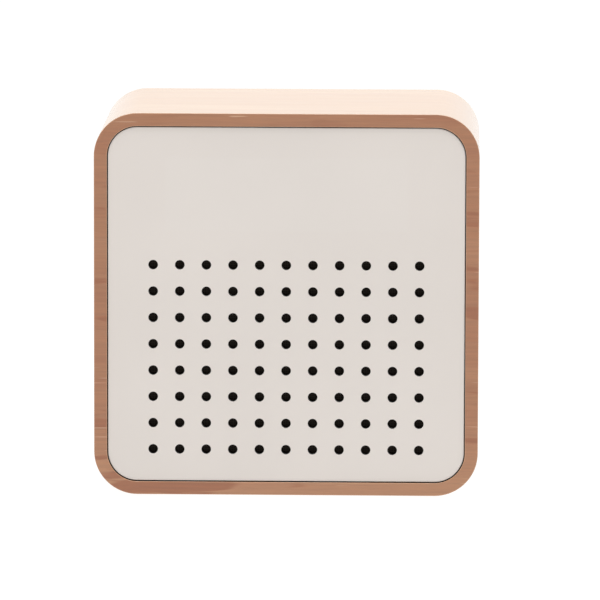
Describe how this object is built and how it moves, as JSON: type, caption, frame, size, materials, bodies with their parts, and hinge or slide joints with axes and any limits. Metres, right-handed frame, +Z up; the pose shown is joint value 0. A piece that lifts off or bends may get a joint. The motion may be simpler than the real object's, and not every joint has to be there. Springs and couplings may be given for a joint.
{
  "type": "carbon dioxide monitor",
  "caption": "Square desktop air monitor: wooden case, perforated white front panel with a hidden display, screwed rear cover with air slots, charging socket and push buttons.",
  "frame": {"origin": "middle of the footprint, on the plane that the rubber feet stand on", "axes": "+Z up, -Y the front with the perforated panel, +Y the rear with the socket, +X to the right seen from the front"},
  "size_m": [0.1, 0.06, 0.101],
  "materials": {
    "case_wood": "fine-grained hardwood, satin oil",
    "panel_plastic": "fine matte",
    "cover_plastic": "fine matte",
    "nylon_black": "fine woven nylon mesh",
    "chassis_plastic": "moulded",
    "gasket_rubber": "moulded",
    "display_black": "moulded",
    "diffuser": "milky",
    "circuit_board": "solder mask",
    "screw_steel": "zinc plated",
    "brass": "turned",
    "gold_plate": "gold plated",
    "capacitor_can": "drawn",
    "white_nylon": "moulded",
    "filter_paper": "porous membrane",
    "socket_steel": "stamped",
    "socket_plastic": "moulded",
    "button_plastic": "fine matte",
    "foot_rubber": "moulded"
  },
  "bodies": {
    "case": {"brass_insert_1": "brass", "brass_insert_2": "brass", "brass_insert_3": "brass", "brass_insert_4": "brass", "buzzer": "display_black", "calibrate_switch_body": "display_black", "capacitor": "capacitor_can", "chassis": "chassis_plastic", "cover_screw_1": "screw_steel", "cover_screw_2": "screw_steel", "cover_screw_3": "screw_steel", "cover_screw_4": "screw_steel", "display_board": "circuit_board", "display_board_screw_1": "screw_steel", "display_board_screw_2": "screw_steel", "display_digit_1": "diffuser", "display_digit_2": "diffuser", "display_digit_3": "diffuser", "display_digit_4": "diffuser", "display_digit_5": "diffuser", "display_gasket": "gasket_rubber", "display_housing": "display_black", "dust_screen": "nylon_black", "front_panel": "panel_plastic", "main_board": "circuit_board", "main_board_screw_1": "screw_steel", "main_board_screw_2": "screw_steel", "main_board_screw_3": "screw_steel", "main_board_screw_4": "screw_steel", "microcontroller": "display_black", "mode_switch_body": "display_black", "rear_cover": "cover_plastic", "riser_board": "circuit_board", "riser_socket_lower": "display_black", "riser_socket_upper": "display_black", "rubber_foot_1": "foot_rubber", "rubber_foot_2": "foot_rubber", "rubber_foot_3": "foot_rubber", "rubber_foot_4": "foot_rubber", "sensor_board": "circuit_board", "sensor_chamber": "gold_plate", "sensor_filter": "filter_paper", "sensor_header_1": "display_black", "sensor_header_2": "display_black", "usb_socket_shell": "socket_steel", "usb_socket_tongue": "socket_plastic", "wood_frame": "case_wood"},
    "mode_button": {"mode_button_cap": "button_plastic", "mode_switch_plunger": "white_nylon"},
    "calibrate_button": {"calibrate_button_cap": "button_plastic", "calibrate_switch_plunger": "white_nylon"}
  },
  "joints": [
    {"name": "mode_button_press", "type": "slide", "parent": "case", "child": "mode_button", "axis": [0, -1, 0], "range_m": [0, 0.0006], "stiffness_N_per_m": 800, "springref_m": -0.001},
    {"name": "calibrate_button_press", "type": "slide", "parent": "case", "child": "calibrate_button", "axis": [0, -1, 0], "range_m": [0, 0.0006], "stiffness_N_per_m": 800, "springref_m": -0.001}
  ]
}
